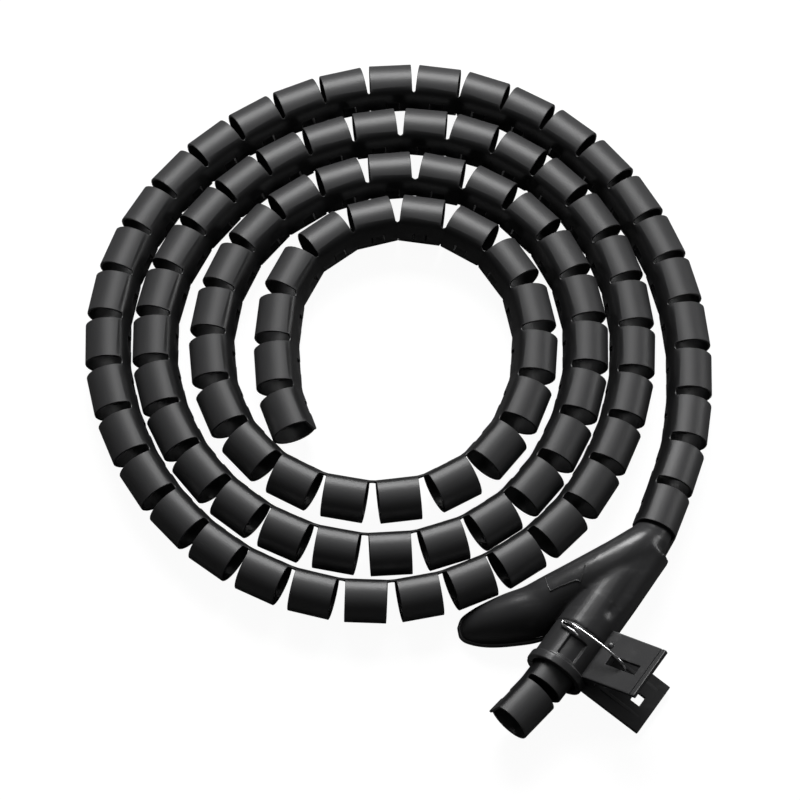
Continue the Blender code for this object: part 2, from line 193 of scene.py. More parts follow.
class Finish:
    """One material, its main shader and the way to add a node to it."""

    def __init__(self, name, plain):
        self.material = bpy.data.materials.new(name)
        self.material.use_nodes = True
        self.tree = self.material.node_tree
        self.shader = self.tree.nodes["Principled BSDF"]
        self.wire(self.shader, plain)

    def add(self, kind, settings, inputs):
        node = self.tree.nodes.new(kind)
        for name, setting in settings.items():
            setattr(node, name, setting)
        self.wire(node, inputs)
        return node

    def wire(self, node, inputs):
        for name, value in inputs.items():
            socket = value.socket if isinstance(value, Value) else value
            if isinstance(socket, bpy.types.NodeSocket):
                self.tree.links.new(socket, node.inputs[name])
            else:
                node.inputs[name].default_value = socket

    def place(self, stretch=(1.0, 1.0, 1.0), uv=""):
        """Where a point is, from the object or from a UV map, stretched to set a pattern's grain."""
        if uv:
            spot = self.add("ShaderNodeUVMap", {"uv_map": uv}, {}).outputs["UV"]
        else:
            spot = self.add("ShaderNodeTexCoord", {}, {}).outputs["Object"]
        mapping = self.add("ShaderNodeMapping", {}, {"Vector": spot, "Scale": stretch})
        return mapping.outputs["Vector"]

    def noise(self, spot, scale, detail=3.0):
        node = self.add("ShaderNodeTexNoise", {}, {"Vector": spot, "Scale": scale, "Detail": detail})
        return Value(self, node.outputs[0])

    def between(self, value, low, high):
        """0 below low, 1 above high and a ramp between them."""
        node = self.add("ShaderNodeMapRange", {}, {"Value": value, "From Min": low, "From Max": high})
        return Value(self, node.outputs[0])

    def edges(self, low, high):
        """1 on convex edges, from the bend of the surface: partly rubbed wear, partly a painted edge
        highlight.
        """
        bend = self.add("ShaderNodeNewGeometry", {}, {}).outputs["Pointiness"]
        return self.between(bend, low, high)

    def mix(self, mask, first, second):
        settings = {"data_type": "RGBA"}
        node = self.add("ShaderNodeMix", settings, {0: mask, 6: (*first, 1.0), 7: second})
        return node.outputs[2]

    def bump(self, height, distance, strength=1.0, below=None):
        inputs = {"Height": height, "Distance": distance, "Strength": strength}
        if below:
            inputs["Normal"] = below
        return self.add("ShaderNodeBump", {}, inputs).outputs["Normal"]


# %% [markdown]
# ## The plastics and the wire
# The wrap is a soft black polyethylene: satin, with fine draw lines along the tube and a faint
# cloudiness. The applicator is a harder, glossier moulding with a very fine eroded grain. Both are
# paler and duller along their convex edges: partly rubbed wear, partly a painted highlight along the
# edge lines. The spring is bright drawn steel.


# %% Finishes
def wrap_plastic():
    finish = Finish("wrap_plastic", {"Specular IOR Level": 0.5})
    cloud = finish.noise(finish.place(), 70.0, 4.0)
    lines = finish.noise(finish.place((0.5, 22.0, 1.0), "flow"), 3.0, 2.0)
    grain = finish.noise(finish.place(), 2600.0, 2.0)
    scuff = finish.between(finish.noise(finish.place((1.0, 6.0, 1.0), "flow"), 1.7, 6.0), 0.6, 0.72)
    # Convex edges are mixed towards pale grey: partly rubbed wear, partly a painted highlight along the
    # edge lines.
    rubbed_and_highlit_edges = finish.edges(0.515, 0.56)
    dark = finish.mix(cloud, (0.008, 0.008, 0.0085), (0.0145, 0.0145, 0.015, 1.0))
    colour = finish.add("ShaderNodeMix", {"data_type": "RGBA"},
                        {0: rubbed_and_highlit_edges * 0.5 + scuff * 0.12, 6: dark, 7: (0.075, 0.075, 0.077, 1.0)})
    rough = cloud * 0.07 + lines * 0.06 + scuff * 0.12 + rubbed_and_highlit_edges * 0.1 + 0.27
    fine = finish.bump(grain, 0.00003, 0.5)
    drawn = finish.bump(lines, 0.00004, 0.5, fine)
    finish.wire(finish.shader, {"Base Color": colour.outputs[2], "Roughness": rough, "Normal": drawn})
    return finish.material


def moulded_plastic(name, tint):
    finish = Finish(name, {"Specular IOR Level": 0.5})
    flow = finish.noise(finish.place((1.0, 1.0, 2.0)), 45.0, 3.0)
    grain = finish.noise(finish.place(), 1900.0, 3.0)
    swirl = finish.between(finish.noise(finish.place((1.0, 2.5, 1.0)), 130.0, 5.0), 0.58, 0.7)
    # Convex edges are mixed towards pale grey: partly rubbed wear, partly a painted highlight along the
    # edge lines.
    rubbed_and_highlit_edges = finish.edges(0.53, 0.62)
    deep = (tint * 0.75, tint * 0.75, tint * 0.78)
    dark = finish.mix(flow, deep, (tint * 1.3, tint * 1.3, tint * 1.34, 1.0))
    colour = finish.add("ShaderNodeMix", {"data_type": "RGBA"},
                        {0: rubbed_and_highlit_edges * 0.35 + swirl * 0.06, 6: dark, 7: (0.08, 0.08, 0.082, 1.0)})
    rough = flow * 0.06 + swirl * 0.06 + rubbed_and_highlit_edges * 0.12 + 0.27
    eroded = finish.bump(grain, 0.00003, 0.6)
    finish.wire(finish.shader, {"Base Color": colour.outputs[2], "Roughness": rough, "Normal": eroded})
    return finish.material


def bright_wire():
    finish = Finish("spring_steel", {})
    drawn = finish.noise(finish.place((0.4, 30.0, 1.0), "flow"), 4.0, 3.0)
    spots = finish.between(finish.noise(finish.place(), 500.0, 4.0), 0.55, 0.75)
    colour = finish.mix(spots, (0.66, 0.66, 0.67), (0.42, 0.41, 0.4, 1.0))
    rough = drawn * 0.12 + spots * 0.15 + 0.16
    lines = finish.bump(drawn, 0.00002, 0.5)
    finish.wire(finish.shader, {"Base Color": colour, "Roughness": rough, "Metallic": 1.0, "Normal": lines})
    return finish.material


def pale_sheet(name, low, high, glow):
    finish = Finish(name, {"Specular IOR Level": 0.0, "Emission Strength": glow})
    tone = finish.noise(finish.place(), 3.0, 2.0)
    colour = finish.mix(tone, (low, low, low), (high, high, high, 1.0))
    finish.wire(finish.shader, {"Base Color": colour, "Roughness": tone * 0.05 + 0.75,
                                "Emission Color": (1.0, 1.0, 1.0, 1.0)})
    return finish.material


looks = {
    "wrap_plastic": wrap_plastic(),
    # The applicator's tint is paler than the jaw's: partly a greyer plastic, partly painted light, raised
    # so that its upper plate, which faces the light, reads lighter.
    "tool_plastic": moulded_plastic("tool_plastic", 0.03),
    "jaw_plastic": moulded_plastic("jaw_plastic", 0.024),
    "spring_steel": bright_wire(),
}
print("finishes", sorted(looks))

# %% [markdown]
# ## The floor
# A glossy black thing on a white table is lit by the table too, so there are two pale sheets. The
# upper one is a light table that only the camera sees, which keeps the shadows faint. The lower one
# is plain and dims under the tubes, and is what they reflect. A wide pale dome stands behind them
# for views from low down.


# %% Floor
def stage_piece(form, name, height, look):
    mesh = bpy.data.meshes.new(name)
    form.to_mesh(mesh)
    form.free()
    mesh.transform(Matrix.Translation((0.0, 0.0, height)))
    mesh.materials.append(look)
    piece = bpy.data.objects.new(name, mesh)
    bpy.context.scene.collection.objects.link(piece)
    return piece


def only_for_the_camera(piece):
    piece.visible_diffuse = False
    piece.visible_glossy = False
    piece.visible_transmission = False
    piece.visible_shadow = False


def lay_the_floor():
    for name, height, look in (("light_table", -0.0002, pale_sheet("light_table", 0.1, 0.11, 0.95)),
                               ("plain_table", -0.0003, pale_sheet("plain_table", 0.1, 0.12, 0.0))):
        form = bmesh.new()
        bmesh.ops.create_grid(form, x_segments=2, y_segments=2, size=5.0)
        sheet = stage_piece(form, name, height, look)
        if name == "light_table":
            only_for_the_camera(sheet)
        else:
            sheet.visible_camera = False
    form = bmesh.new()
    bmesh.ops.create_icosphere(form, subdivisions=4, radius=18.0)
    only_for_the_camera(stage_piece(form, "pale_dome", 0.0, pale_sheet("pale_dome", 0.0, 0.02, 1.0)))


lay_the_floor()

# %% [markdown]
# ## Working flat, then bending
# A ring, a barrel and a plate are all walls of even thickness. Each is drawn as a flat sheet of
# cells with its slots and holes left out, given its wall, eased along its edges, and only then bent
# to its place. The flat distances are kept in a UV map, so the draw lines follow the wall.


# %% Flat walls
def flat_sheet(columns, rows, keep):
    """A sheet with cells between the given lines, without the ones that keep turns down."""
    form = bmesh.new()
    bmesh.ops.create_grid(form, x_segments=len(columns) - 1, y_segments=len(rows) - 1, size=1.0)
    for vert in form.verts:
        x = round((vert.co.x + 1.0) / 2.0 * (len(columns) - 1))
        y = round((vert.co.y + 1.0) / 2.0 * (len(rows) - 1))
        vert.co = (columns[x], rows[y], 0.0)
    gone = []
    for face in form.faces:
        middle = face.calc_center_median()
        if not keep(middle.x, middle.y):
            gone.append(face)
    bmesh.ops.delete(form, geom=gone, context="FACES")
    return form


def give_wall(form, thickness):
    """Turns a sheet into a wall whose outer face stays where the sheet was, at height 0."""
    for vert in form.verts:
        vert.co.z += 100.0
    top = max(vert.co.z for vert in form.verts)
    bmesh.ops.solidify(form, geom=form.faces[:], thickness=thickness)
    over = max(vert.co.z for vert in form.verts) - top
    for vert in form.verts:
        vert.co.z -= 100.0 + over


def keep_flow(form):
    """Writes the flat distances, in centimetres, into the UV map named flow."""
    flow = form.loops.layers.uv.new("flow")
    for face in form.faces:
        for loop in face.loops:
            loop[flow].uv = (loop.vert.co.x / 10.0, loop.vert.co.y / 10.0)


def ease(form, width, sharp=50.0, segments=1):
    """A small bevel on every edge that is sharper than the given angle."""
    edges = []
    for edge in form.edges:
        if len(edge.link_faces) == 2 and edge.calc_face_angle(0.0) > math.radians(sharp):
            edges.append(edge)
    bmesh.ops.bevel(form, geom=edges, affect="EDGES", offset=width, segments=segments, profile=0.5,
                    material=-1, clamp_overlap=True)


def bend(form, place, verts=None):
    """Moves each point from the flat drawing to its place on the object."""
    for vert in (form.verts if verts is None else verts):
        vert.co = place(*vert.co)


def face_out(form):
    """Turns the whole shape the right way out if its volume reads as negative."""
    if form.calc_volume(signed=True) < 0.0:
        bmesh.ops.reverse_faces(form, faces=form.faces[:])


def join(target, form):
    """Adds one shape to another and lets the first go."""
    face_out(form)
    mesh = bpy.data.meshes.new("part")
    form.to_mesh(mesh)
    form.free()
    target.from_mesh(mesh)
    bpy.data.meshes.remove(mesh)


def finish_piece(form, name, body, look, node, smooth=40.0):
    """Puts a finished shape in the scene in metres, in place of its plain solid, on a body if given."""
    for vert in form.verts:
        vert.co = (vert.co + SETTLE) * MM
    mesh = bpy.data.meshes.new(name)
    form.to_mesh(mesh)
    form.free()
    mesh.shade_smooth()
    mesh.set_sharp_from_angle(angle=math.radians(smooth))
    piece = bpy.data.objects.new(name, mesh)
    bpy.context.scene.collection.objects.link(piece)
    mesh.materials.append(looks[look])
    piece.modifiers.new("even_shading", "WEIGHTED_NORMAL").keep_sharp = True
    if body:
        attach(piece, body)
    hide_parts(node)
    triangles = sum(len(p.vertices) - 2 for p in mesh.polygons)
    lowest = min(vert.co.z for vert in mesh.vertices) / MM
    print(name, triangles, "triangles, lowest at", round(lowest, 2), "mm")
    return piece


# %% [markdown]
# ## The way the tube lies
# The tube runs straight through the applicator and onto the coil, nearly four times round. Its rings
# are stiff and its spine bends between them, so the rings are set one after another along the
# spine. These are the same points as the solids have.

# %% The coil's points
COIL = [
    (330, 126.8), (340, 123.6), (350, 120.0), (360, 118.0), (375, 116.0), (390, 115.6), (405, 116.6),
    (420, 117.9), (440, 119.2), (455, 118.8), (470, 117.6), (485, 117.4), (500, 118.1), (515, 119.2),
    (530, 120.0), (540, 120.0), (550, 119.1), (570, 117.8), (590, 116.4), (610, 114.4), (625, 112.3),
    (640, 108.8), (655, 105.0), (670, 101.9), (690, 97.3), (705, 95.7), (720, 95.4), (735, 95.9),
    (750, 97.0), (765, 98.1), (780, 98.9), (795, 99.5), (810, 99.4), (825, 98.2), (840, 97.9),
    (855, 98.1), (870, 99.4), (885, 100.7), (900, 100.7), (915, 99.4), (930, 98.2), (945, 96.4),
    (960, 94.6), (975, 92.6), (990, 90.3), (1005, 87.7), (1020, 84.8), (1035, 81.1), (1050, 78.0),
    (1065, 76.6), (1080, 76.3), (1095, 76.9), (1110, 78.0), (1125, 79.2), (1145, 79.9), (1165, 80.0),
    (1185, 79.0), (1205, 78.9), (1220, 78.7), (1240, 77.7), (1265, 77.2), (1285, 76.9), (1305, 74.6),
    (1323, 71.3), (1340, 68.2), (1358, 65.6), (1378, 62.3), (1400, 58.2), (1415, 56.2), (1435, 55.5),
    (1450, 55.8), (1469, 57.8), (1490, 60.0), (1512, 60.6), (1532, 60.5), (1552, 59.2), (1572, 57.6),
    (1590, 54.4), (1605, 51.6), (1620, 50.3), (1632, 51.2), (1645, 53.4), (1668, 58.0),
]
SLOT_ANGLES = [
    (0, 320.6), (4, 359.8), (10, 419.2), (16, 475.0), (22, 533.6), (28, 595.6), (33, 651.4), (38, 713.0),
    (44, 786.6), (50, 856.4), (56, 927.6), (62, 1009.0), (66, 1073.0), (72, 1165.4), (78, 1255.6),
    (83, 1340.0), (87, 1426.0), (91, 1511.6), (95, 1593.0), (98, 1661.0),
]

# %% The tool's frame
ALONG = Vector((-math.cos(math.radians(HEADING)), -math.sin(math.radians(HEADING)), 0.0))
OUTWARD = Vector((math.sin(math.radians(HEADING)), -math.cos(math.radians(HEADING)), 0.0))


def tool_point(a, o, z):
    """A place by its distance along the barrel, outward from its middle, and its height."""
    return Vector((FLANGE_AT.x, FLANGE_AT.y, z)) + ALONG * a + OUTWARD * o


# %% The route and its spine
def smooth_line(line, step, reach):
    """Even steps along a line, with its corners rounded by a short moving average."""
    run = np.concatenate([[0.0], np.cumsum(np.linalg.norm(np.diff(line, axis=0), axis=1))])
    even = np.linspace(0.0, run[-1], int(run[-1] / step))
    dense = np.stack([np.interp(even, run, line[:, k]) for k in range(3)], axis=1)
    kernel = np.ones(2 * reach + 1) / (2 * reach + 1)
    out = dense.copy()
    for k in range(3):
        out[reach:-reach, k] = np.convolve(dense[:, k], kernel, mode="valid")
    return out


def route():
    points = [tool_point(MOUTH_AT + 8.0, -MOUTH_SWING * 1.7, TOOL_HEIGHT)]
    points.append(tool_point(MOUTH_AT - 1.0, -MOUTH_SWING, TOOL_HEIGHT))
    points.append(tool_point(9.0, -0.9, TOOL_HEIGHT))
    points.append(tool_point(-BARREL_LEN - 3.0, 0.0, TOOL_HEIGHT))
    points.append(Vector((107.4, -72.6, 12.4)))
    table = np.array(COIL, dtype=float)
    start = COIL[0][0]
    for degrees in np.arange(start, COIL[-1][0] + 0.5, 1.0):
        radius = float(np.interp(degrees, table[:, 0], table[:, 1]))
        turn = math.radians(degrees)
        rise = max(0.0, 1.0 - (degrees - start) / 26.0)
        height = COIL_HEIGHT + (11.9 - COIL_HEIGHT) * rise * rise
        points.append(Vector((radius * math.cos(turn), radius * math.sin(turn), height)))
    return smooth_line(np.array([tuple(p) for p in points]), 0.5, 17)


def spine_line(line):
    ahead = np.gradient(line, axis=0)
    side = np.stack([-ahead[:, 1], ahead[:, 0]], axis=1)
    side /= np.linalg.norm(side, axis=1)[:, None]
    spine = line.copy()
    spine[:, :2] += side * SPINE_AT
    run = np.concatenate([[0.0], np.cumsum(np.linalg.norm(np.diff(spine, axis=0), axis=1))])
    return spine, run


# %% Where each ring starts and ends
def ring_spans(line, spine, run):
    mouth = np.array(tool_point(MOUTH_AT, -MOUTH_SWING - SPINE_AT, TOOL_HEIGHT))
    here = float(run[np.argmin(np.linalg.norm(spine - mouth, axis=1))])
    spans = []
    for _ in range(RINGS_IN_BARREL + 1):
        spans.append((here, here + RING_LEN))
        here += BARREL_PITCH
    angles = np.degrees(np.unwrap(np.arctan2(line[:, 1], line[:, 0])))
    angles += 360.0 * round((COIL[0][0] - float(angles.min())) / 360.0)
    low = int(np.argmin(angles))
    anchors = [float(np.interp(angle, angles[low:], run[low:])) for _, angle in SLOT_ANGLES]
    numbers = [number for number, _ in SLOT_ANGLES]
    slots = np.interp(np.arange(numbers[-1] + 1), numbers, anchors)
    for near, far in zip(slots[:-1], slots[1:]):
        middle = float(near + far) / 2.0
        spans.append((middle - RING_LEN / 2.0, middle + RING_LEN / 2.0))
    return spans


class Ring:
    """One stiff ring: where its middle line starts, the way it points and its two cross directions."""

    def __init__(self, start, end):
        self.length = (end - start).length
        self.ahead = (end - start).normalized()
        self.side = Vector((-self.ahead.y, self.ahead.x, 0.0)).normalized()
        self.up = self.ahead.cross(self.side)
        self.start = start - self.side * SPINE_AT + Vector((0.0, 0.0, LIFT))

    def point(self, x, degrees, depth):
        """The place of a spot x along the ring, so far round it, and so deep in its wall."""
        turn = math.radians(degrees)
        out = self.side * math.cos(turn) + self.up * math.sin(turn)
        return self.start + self.ahead * (x / RING_LEN * self.length) + out * (section(degrees) + depth)


def section(degrees):
    """The radius of the tube: round, with a flatter strip where the spine is."""
    off = math.cos(math.radians(degrees - FLAT_MIDDLE))
    if off <= 0.3:
        return TUBE_R
    sharp = 22.0
    return (TUBE_R ** -sharp + (FLAT_AT / off) ** -sharp) ** (-1.0 / sharp)


def make_rings():
    line = route()
    spine, run = spine_line(line)
    rings = []
    for s0, s1 in ring_spans(line, spine, run):
        ends = [Vector([float(np.interp(s, run, spine[:, k])) for k in range(3)]) for s in (s0, s1)]
        rings.append(Ring(*ends))
    print(len(rings), "rings on", round(float(run[-1]) / 1000.0, 2), "metres of spine")
    return rings


rings = make_rings()

# %% [markdown]
# ## One ring, drawn flat
# Each ring is a strip wrapped nearly all the way round. Its root is the spine. Its free end has a
# narrow tongue that tucks under a small window in the spine's edge, which is what keeps the wrap
# shut like a zipper. The slots between rings end in a small round.

# %% The lines of a ring
HALF_SLOT = 1.0
WINDOW = (5.4, 11.2)
TONGUE = (6.0, 10.6)
WINDOW_TOP = 20.0
TONGUE_END = 378.0
COLUMNS = [-HALF_SLOT, -HALF_SLOT / 2, 0.0, 0.9, 5.4, 6.0, 8.3, 10.6, 11.2, 15.7, RING_LEN,
           RING_LEN + HALF_SLOT / 2, RING_LEN + HALF_SLOT]
ROWS = [SPINE_FROM, 2, 8, 14, WINDOW_TOP, 27, 34, 41, 47, 52, SPINE_TO, 61, 66, 73, 82]
ROWS += [92 + 13 * k for k in range(20)] + [346, FREE_END, 357, 364, 371, TONGUE_END]
ARC = math.radians(1.0) * TUBE_R


def ring_keeps(before, after, rows=(0.0, 0.0)):
    """Which cells a ring has, with or without the spine before and after it."""

    def keep(x, y):
        degrees = y / ARC
        if rows[1] and not rows[0] < degrees < rows[1]:
            return False
        if x < 0.0 or x > RING_LEN:
            return degrees < SPINE_TO and (before if x < 0.0 else after)
        if degrees < WINDOW_TOP:
            return not WINDOW[0] < x < WINDOW[1]
        return degrees < FREE_END or TONGUE[0] < x < TONGUE[1]

    return keep


def round_the_slots(form):
    """Bows the end of each slot, takes the corners off the free end and tucks the tongue in."""
    for vert in form.verts:
        x = vert.co.x
        degrees = vert.co.y / ARC
        outside = max(-x, x - RING_LEN, 0.0) / HALF_SLOT
        if abs(degrees - SPINE_TO) < 0.1:
            vert.co.y -= 0.75 * math.sin(math.pi / 2.0 * outside) - 0.15
        if abs(degrees - FREE_END) < 0.1 and (x < 0.1 or x > RING_LEN - 0.1):
            vert.co.y -= 0.35
            vert.co.x += 0.3 if x < 1.0 else -0.3
        if abs(degrees - TONGUE_END) < 0.1:
            vert.co.x += 0.5 * (1.0 if x < TONGUE[0] + 0.1 else (-1.0 if x > TONGUE[1] - 0.1 else 0.0))
        if degrees > FREE_END - 0.1 and TONGUE[0] - 0.1 < x < TONGUE[1] + 0.1:
            vert.co.z -= 1.15 * min(1.0, (degrees - FREE_END + 4.0) / 14.0)


def thin_out(form):
    """Merges the cells along the plain stretch of a ring, which is straight from slot to slot."""
    extra = []
    for edge in form.edges:
        ends = [v.co for v in edge.verts]
        inside = all(0.5 < c.x < RING_LEN - 0.5 for c in ends)
        plain = all(65.0 < c.y / ARC < 340.0 for c in ends)
        if inside and plain and abs(ends[0].x - ends[1].x) < 0.01:
            extra.append(edge)
    bmesh.ops.dissolve_edges(form, edges=extra, use_verts=True)


def point_the_tail(form, sign):
    """Draws the cut end of the spine out into a small point."""
    for vert in form.verts:
        over = vert.co.x - RING_LEN if sign > 0 else -vert.co.x
        if over > 0.1:
            share = over / HALF_SLOT
            vert.co.x += sign * share * 1.2
            middle = 14.0 * ARC
            vert.co.y = middle + (vert.co.y - middle) * (1.0 - 0.7 * share * share)


def flat_ring(before, after, tail=0, rows=(0.0, 0.0)):
    form = flat_sheet(COLUMNS, [row * ARC for row in ROWS], ring_keeps(before, after, rows))
    round_the_slots(form)
    thin_out(form)
    if tail:
        point_the_tail(form, tail)
    give_wall(form, WALL)
    joined = []
    for face in form.faces:
        xs = [vert.co.x for vert in face.verts]
        if (before and tail >= 0 and max(xs) < -HALF_SLOT + 0.01) or (
                after and tail <= 0 and min(xs) > RING_LEN + HALF_SLOT - 0.01):
            joined.append(face)
    bmesh.ops.delete(form, geom=joined, context="FACES")
    ease(form, 0.16)
    keep_flow(form)
    mesh = bpy.data.meshes.new("ring")
    form.to_mesh(mesh)
    form.free()
    return mesh


# %% [markdown]
# ## The whole wrap
# The flat ring is copied about a hundred times and each copy is bent round its own place on the spine.
# Where the spine crosses a slot, a copy leans half way to its neighbour, so that the two meet and
# are welded into one moulding.


# %% Bend the rings
def bend_ring(form, mesh, index):
    """Adds a copy of the flat ring and bends it, leaning to its neighbours across the slots."""
    first = len(form.verts)
    form.from_mesh(mesh)
    form.verts.ensure_lookup_table()
    here = rings[index]

    def place(x, y, z):
        degrees = y / ARC
        if x < 0.0 and index > 0 and x >= -HALF_SLOT - 0.01:
            near = here.point(0.0, degrees, z)
            far = rings[index - 1].point(RING_LEN, degrees, z)
            return near.lerp(far, -x / HALF_SLOT / 2.0)
        if x > RING_LEN and index < len(rings) - 1 and x <= RING_LEN + HALF_SLOT + 0.01:
            near = here.point(RING_LEN, degrees, z)
            far = rings[index + 1].point(0.0, degrees, z)
            return near.lerp(far, (x - RING_LEN) / HALF_SLOT / 2.0)
        return here.point(x, degrees, z)

    bend(form, place, [form.verts[k] for k in range(first, len(form.verts))])


def hidden_link(form, index):
    """The strip that joins two rings inside the barrel, under them, where the scoop comes off."""
    rows = [188.0 + 13.0 * k for k in range(6)]
    link = flat_sheet([0.0, 0.5, 1.0], [row * ARC for row in rows], lambda x, y: True)
    give_wall(link, WALL)
    keep_flow(link)
    here = rings[index]
    there = rings[index + 1]

    def place(x, y, z):
        degrees = y / ARC
        return here.point(RING_LEN - 0.2, degrees, z).lerp(there.point(0.2, degrees, z), x)

    bend(link, place)
    join(form, link)


def whole_wrap():
    plain = flat_ring(False, False)
    usual = flat_ring(True, True)
    spread = flat_ring(False, False, rows=(120.0, 288.0))
    last = len(rings) - 1
    kinds = {0: flat_ring(True, True, -1), 1: flat_ring(True, False), 2: plain, 3: plain, 4: spread,
             5: flat_ring(False, True), last: flat_ring(True, True, 1)}
    form = bmesh.new()
    for index in range(len(rings)):
        bend_ring(form, kinds.get(index, usual), index)
    bmesh.ops.remove_doubles(form, verts=form.verts, dist=0.004)
    face_out(form)
    for index in range(1, RINGS_IN_BARREL + 1):
        hidden_link(form, index)
    return form


finish_piece(whole_wrap(), "ringed_wrap", "wrap_and_applicator", "wrap_plastic", "cable_wrap")

# %% [markdown]
# ## Solid bars
# Lugs, ribs and webs are plain bars along the barrel: an outline pulled out to a length.


# %% Bars and pins
def bar(outline, a0, a1, width=0.25):
    """A bar with the outline (o, z) from a0 to a1 along the barrel, eased along its edges."""
    form = bmesh.new()
    ring = [form.verts.new((a0, o, z)) for o, z in outline]
    face = form.faces.new(ring)
    pulled = bmesh.ops.extrude_face_region(form, geom=[face])["geom"]
    moved = [item for item in pulled if isinstance(item, bmesh.types.BMVert)]
    bmesh.ops.translate(form, verts=moved, vec=(a1 - a0, 0.0, 0.0))
    bmesh.ops.recalc_face_normals(form, faces=form.faces[:])
    ease(form, width, 40.0, 2)
    keep_flow(form)
    bend(form, tool_point)
    return form


def pin(radius, a0, a1, o, z, width=0.25):
    """A round pin along the barrel."""
    count = 28
    turns = [2.0 * math.pi * k / count for k in range(count)]
    outline = [(o + radius * math.cos(t), z + radius * math.sin(t)) for t in turns]
    return bar(outline, a0, a1, width)


# %% [markdown]
# ## The barrel and the collar
# The barrel is one wall bent round the tube. A shallow valley runs down its outer side, and the
# upper half of the collar ends in a flange with a rounded rim. The lower half of the collar is the
# clip's jaw.


# %% A wall bent round the barrel
def fade(value, low, high):
    """0 at low, 1 at high and a smooth rise between."""
    share = min(1.0, max(0.0, (value - low) / (high - low)))
    return share * share * (3.0 - 2.0 * share)


def barrel_radius(a, degrees):
    """The outside of the barrel and collar, with its valley, recess and flange."""
    radius = BARREL_R
    radius += (FLANGE_R - BARREL_R) * fade(a, -FLANGE_T - 0.5, -FLANGE_T)
    radius += 0.1 * fade(a, BAND_AT - 0.1, BAND_AT)
    valley = math.exp(-((degrees - 56.0 + (a + 28.0) * 0.06) / 10.0) ** 2)
    radius -= 1.0 * valley * (1.0 - fade(a, -33.0, -29.0)) * fade(a, -70.0, -62.0)
    radius -= 0.5 * fade(-a, 40.0, 68.0)
    towards_neck = fade(degrees, 62.0, 92.0) * (1.0 - fade(degrees, 165.0, 195.0))
    radius -= 3.0 * towards_neck * fade(-a, 50.0, 64.0)
    inside = fade(degrees, 56.0, 58.0) * (1.0 - fade(degrees, 96.0, 98.0))
    radius -= 1.2 * inside * fade(a, -15.0, -14.6) * (1.0 - fade(a, -5.4, -5.0))
    return radius


def around_barrel(a, y, z):
    degrees = y / ARC_BARREL
    turn = math.radians(degrees)
    outer = barrel_radius(a, degrees)
    radius = outer + (outer - min(BORE_R, outer - 1.2)) * z
    return tool_point(a, radius * math.cos(turn), TOOL_HEIGHT + radius * math.sin(turn))


ARC_BARREL = math.radians(1.0) * BARREL_R
BARREL_A = [-68.0, -67.4, -64.0, -60.0, -55.0, -50.0, -45.0, -40.0, -36.0, -33.0, -31.0, -29.0, -28.0,
            -27.4, -24.0, -20.0, -17.0, -15.0, -14.6, -12.0, -9.0, -5.4, -5.0, -4.4, -3.9, -3.4, -2.2,
            -1.0, -0.4, 0.0]
BARREL_Y = [0.9, 10.0, 20.0, 28.0, 35.0, 42.0, 48.0, 52.0, 56.0, 58.0, 62.0, 67.0, 73.0, 80.0, 88.0, 96.0,
            98.0, 106.0, 116.0, 126.0, 136.0, 146.0, 156.0, 166.0, 174.0, 179.1]


def barrel_wall(a0, a1):
    """The wall from a0 to a1: the whole way round the barrel, and the upper half of the collar."""
    columns = [a for a in BARREL_A if a0 <= a <= a1]
    rows = [0.0] + BARREL_Y + [189.1 + 10.0 * k for k in range(17)] + [360.0]

    def keep(a, y):
        return a < -COLLAR_LEN or 0.9 < y / ARC_BARREL < 179.1

    form = flat_sheet(columns, [row * ARC_BARREL for row in rows], keep)
    give_wall(form, 1.0)
    seam = []
    for face in form.faces:
        ys = [vert.co.y for vert in face.verts]
        if max(ys) < 0.01 or min(ys) > 360.0 * ARC_BARREL - 0.01:
            seam.append(face)
    bmesh.ops.delete(form, geom=seam, context="FACES")
    keep_flow(form)
    bend(form, around_barrel)
    bmesh.ops.remove_doubles(form, verts=form.verts, dist=0.004)
    ease(form, 0.3, 60.0, 2)
    return form


# %% [markdown]
# ## The plates of the clip
# Two square finger plates lean apart like a clothes peg. The upper one has a hem along its outer
# edge and a slot for the spring. The lower one has a square window and two ribs.

# %% Plates
UPPER_ROOT = (9.0, 17.6)
UPPER_EDGE = (36.4, 30.8)
LOWER_ROOT = (9.0, 11.0)
LOWER_EDGE = (39.8, 1.1)
PLATE_T = 2.0
HINGE = (14.4, 14.5)
KNUCKLE_R = 2.4
HEM_DEPTH = 0.35
SPRING_SLOT = (-17.2, -12.6, 8.6, 24.2)
WINDOW_HOLE = (-15.1, -10.7, 22.0, 26.6)


def plate(root, edge, columns, rows, hole, relief):
    """A flat plate from root to edge; relief gives the height of its upper face."""
    run = Vector((edge[0] - root[0], edge[1] - root[1])).normalized()
    normal = Vector((-run.y, run.x))

    def keep(a, w):
        return not (hole[0] < a < hole[1] and hole[2] < w < hole[3])

    form = flat_sheet(columns, rows, keep)
    give_wall(form, PLATE_T)

    def place(a, w, z):
        spot = Vector(root) + run * w + normal * relief(w, z)
        return tool_point(a, *spot)

    keep_flow(form)
    bend(form, place)
    bmesh.ops.recalc_face_normals(form, faces=form.faces[:])
    ease(form, 0.3, 60.0, 2)
    return form


def upper_plate():
    long = math.hypot(UPPER_EDGE[0] - UPPER_ROOT[0], UPPER_EDGE[1] - UPPER_ROOT[1])
    hem = [long - 2.6, long - 2.35, long - 2.0, long - 1.75]
    columns = [-28.0, -27.4, -22.0, -17.2, -12.6, -4.3, -3.7]
    rows = [0.0, 4.0, 8.6, 24.2] + hem + [long - 0.6, long]

    def with_hem(w, z):
        groove = fade(w, hem[0], hem[1]) * (1.0 - fade(w, hem[2], hem[3]))
        return z - HEM_DEPTH * groove if z > -0.5 else z

    return plate(UPPER_ROOT, UPPER_EDGE, columns, rows, SPRING_SLOT, with_hem)


